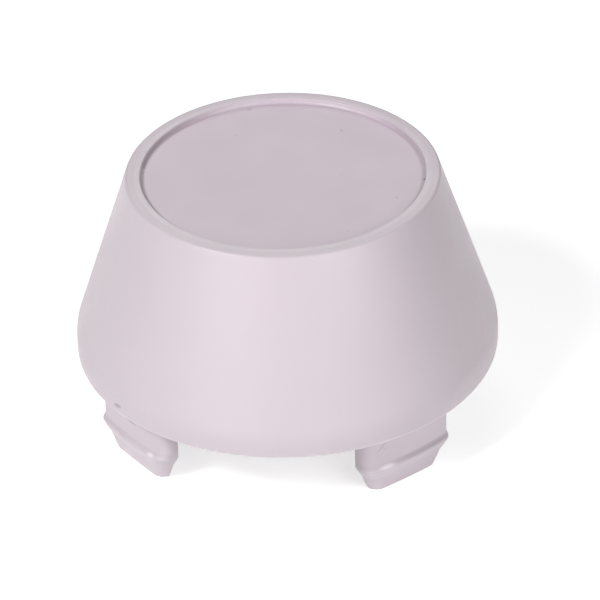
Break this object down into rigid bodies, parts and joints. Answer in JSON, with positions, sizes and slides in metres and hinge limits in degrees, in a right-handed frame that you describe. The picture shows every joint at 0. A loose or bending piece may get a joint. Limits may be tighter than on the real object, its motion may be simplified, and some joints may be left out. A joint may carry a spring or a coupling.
{
  "type": "wheel center cap",
  "caption": "Conical snap-in wheel center cap: hollow moulded cone with a straight lip, a raised rim round a shallow bare recess, and barbed snap legs under the lip.",
  "frame": {"origin": "centre of the plane of the leg tips, on the cap's axis", "axes": "+Z along the cap's axis, from the leg tips towards the recessed top; the legs lie on the diagonals between X and Y"},
  "size_m": [0.072, 0.072, 0.0449],
  "materials": {
    "painted_abs": "moulded ABS with a pale pinkish grey satin-gloss paint"
  },
  "bodies": {
    "root": {"center_cap": "painted_abs"}
  },
  "joints": []
}
